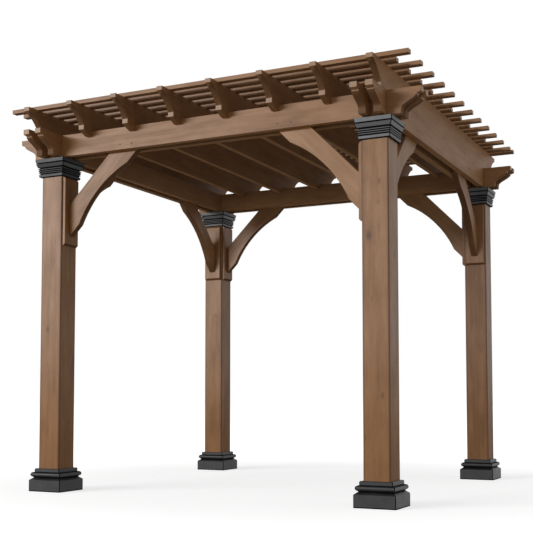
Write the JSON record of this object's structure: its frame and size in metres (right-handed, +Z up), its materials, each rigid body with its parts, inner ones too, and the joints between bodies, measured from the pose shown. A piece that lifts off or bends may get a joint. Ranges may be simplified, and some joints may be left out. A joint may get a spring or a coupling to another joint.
{
  "type": "pergola",
  "caption": "Square garden pergola: posts on moulded bases and capitals, paired beams with arched knee braces, notched rafters with shaped tails and a slatted top.",
  "frame": {"origin": "on the ground, midway between the four posts", "axes": "+X along the front to the right, +Y from front to back, +Z up"},
  "size_m": [2.602, 2.576, 2.336],
  "materials": {
    "stained_wood": "satin stain",
    "black_moulding": "satin"
  },
  "bodies": {
    "root": {"post_front_left": "stained_wood", "post_front_right": "stained_wood", "post_back_left": "stained_wood", "post_back_right": "stained_wood", "base_front_left": "black_moulding", "base_front_right": "black_moulding", "base_back_left": "black_moulding", "base_back_right": "black_moulding", "capital_front_left": "black_moulding", "capital_front_right": "black_moulding", "capital_back_left": "black_moulding", "capital_back_right": "black_moulding", "cleats_front_left": "stained_wood", "cleats_front_right": "stained_wood", "cleats_back_left": "stained_wood", "cleats_back_right": "stained_wood", "brace_front_left": "stained_wood", "brace_front_right": "stained_wood", "brace_back_left": "stained_wood", "brace_back_right": "stained_wood", "brace_left_front": "stained_wood", "brace_left_back": "stained_wood", "brace_right_front": "stained_wood", "brace_right_back": "stained_wood", "beam_front_outer": "stained_wood", "beam_front_inner": "stained_wood", "beam_back_outer": "stained_wood", "beam_back_inner": "stained_wood", "beam_left_outer": "stained_wood", "beam_left_inner": "stained_wood", "beam_right_outer": "stained_wood", "beam_right_inner": "stained_wood", "rafter_1": "stained_wood", "rafter_2": "stained_wood", "rafter_3": "stained_wood", "rafter_4": "stained_wood", "rafter_5": "stained_wood", "rafter_6": "stained_wood", "rafter_7": "stained_wood", "rafter_8": "stained_wood", "slats_front": "stained_wood", "slats_middle": "stained_wood", "slats_back": "stained_wood"}
  },
  "joints": []
}
